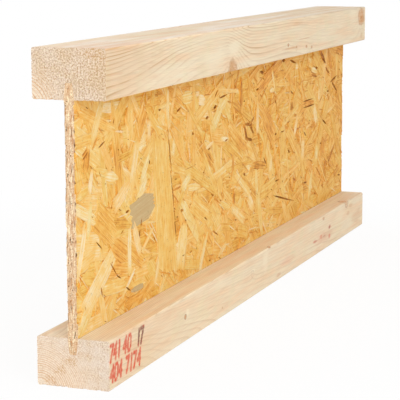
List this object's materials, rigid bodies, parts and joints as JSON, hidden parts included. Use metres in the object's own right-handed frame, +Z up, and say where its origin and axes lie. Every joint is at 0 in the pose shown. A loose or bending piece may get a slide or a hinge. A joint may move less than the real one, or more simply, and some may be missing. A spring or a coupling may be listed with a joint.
{
  "type": "wooden i-joist",
  "caption": "Timber I-joist: softwood flanges glued along the edges of a strand board web, a light beam for floors and roofs.",
  "frame": {"origin": "middle of the bearing face: the underside of the bottom flange, half way along the joist", "axes": "+X across the flanges towards the side that the picture shows, +Y along the joist away from the end that the picture shows near, +Z up from the bearing face to the deck face"},
  "size_m": [0.07, 0.87, 0.3],
  "materials": {
    "flange_softwood": "planed softwood, unfinished, sawn ends",
    "web_strand_board": "oriented strand board, pressed and unsanded"
  },
  "bodies": {
    "root": {"top_flange": "flange_softwood", "bottom_flange": "flange_softwood", "web_panel": "web_strand_board"}
  },
  "joints": []
}
